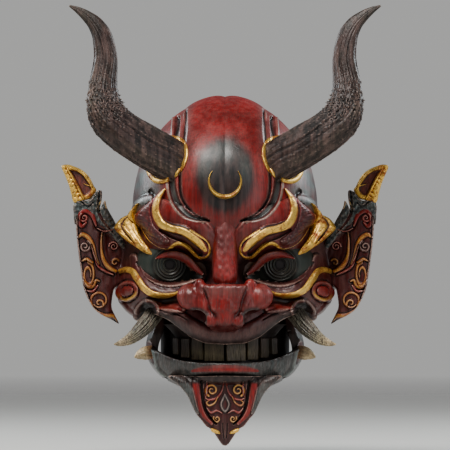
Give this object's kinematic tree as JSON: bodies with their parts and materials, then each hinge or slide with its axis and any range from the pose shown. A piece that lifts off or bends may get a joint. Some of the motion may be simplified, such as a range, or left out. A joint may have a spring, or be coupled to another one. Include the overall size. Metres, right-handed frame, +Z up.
{
  "type": "noh mask",
  "caption": "Carved demon mask with plug-in horns, gilded brows, pierced metal eyes, pegged ears, tusks and a hinged lower jaw with a beard.",
  "frame": {"origin": "middle of the back rim's plane, at eye height", "axes": "+Z up, the face looks along -Y, +X is the wearer's left"},
  "size_m": [0.2616, 0.121, 0.3522],
  "materials": {
    "red_lacquer": "carved wood under worn red lacquer, satin",
    "verdigris_lacquer": "grey-green painted wood, rubbed at the edges",
    "dark_lacquer": "dark lacquered wood, satin",
    "gold_leaf": "aged gold leaf over carved wood",
    "weathered_horn": "dark, deeply grained carved wood stained as old horn",
    "bone": "ivory-coloured painted wood",
    "aged_tooth": "smoked ivory lacquer",
    "dark_bronze": "blackened bronze sheet",
    "brass": "old brass",
    "bare_wood": "oiled bare wood"
  },
  "bodies": {
    "mask": {"crescent_moon": "brass", "ear_pegs": "bare_wood", "face_shell": "red_lacquer", "jaw_stops": "brass", "left_brow_carving": "gold_leaf", "left_brow_wing": "gold_leaf", "left_cord_bush": "brass", "left_ear": "red_lacquer", "left_ear_collar": "verdigris_lacquer", "left_ear_tip": "gold_leaf", "left_eye": "dark_bronze", "left_hinge_block": "bare_wood", "left_hinge_pin": "brass", "left_horn_collar": "gold_leaf", "left_tusk": "weathered_horn", "mouth_lining": "dark_lacquer", "nose": "red_lacquer", "right_brow_carving": "gold_leaf", "right_brow_wing": "gold_leaf", "right_cord_bush": "brass", "right_ear": "red_lacquer", "right_ear_collar": "verdigris_lacquer", "right_ear_tip": "gold_leaf", "right_eye": "dark_bronze", "right_hinge_block": "bare_wood", "right_hinge_pin": "brass", "right_horn_collar": "gold_leaf", "right_tusk": "weathered_horn", "upper_gum": "dark_lacquer", "upper_teeth": "aged_tooth"},
    "jaw": {"lower_jaw": "red_lacquer", "beard": "red_lacquer", "beard_pegs": "bare_wood", "beard_claws": "gold_leaf", "left_jaw_spike": "bone", "right_jaw_spike": "bone"},
    "left_horn_body": {"left_horn": "weathered_horn", "left_horn_tenon": "bare_wood"},
    "right_horn_body": {"right_horn": "weathered_horn", "right_horn_tenon": "bare_wood"}
  },
  "joints": [
    {"name": "jaw_hinge", "type": "hinge", "parent": "mask", "child": "jaw", "pos_m": [0, -0.02, -0.022], "axis": [-1, 0, 0], "range_deg": [0, 10]},
    {"name": "left_horn_plug", "type": "slide", "parent": "mask", "child": "left_horn_body", "axis": [0.8401, -0.21, 0.5001], "range_m": [0, 0.03]},
    {"name": "right_horn_plug", "type": "slide", "parent": "mask", "child": "right_horn_body", "axis": [-0.8401, -0.21, 0.5001], "range_m": [0, 0.03]}
  ]
}
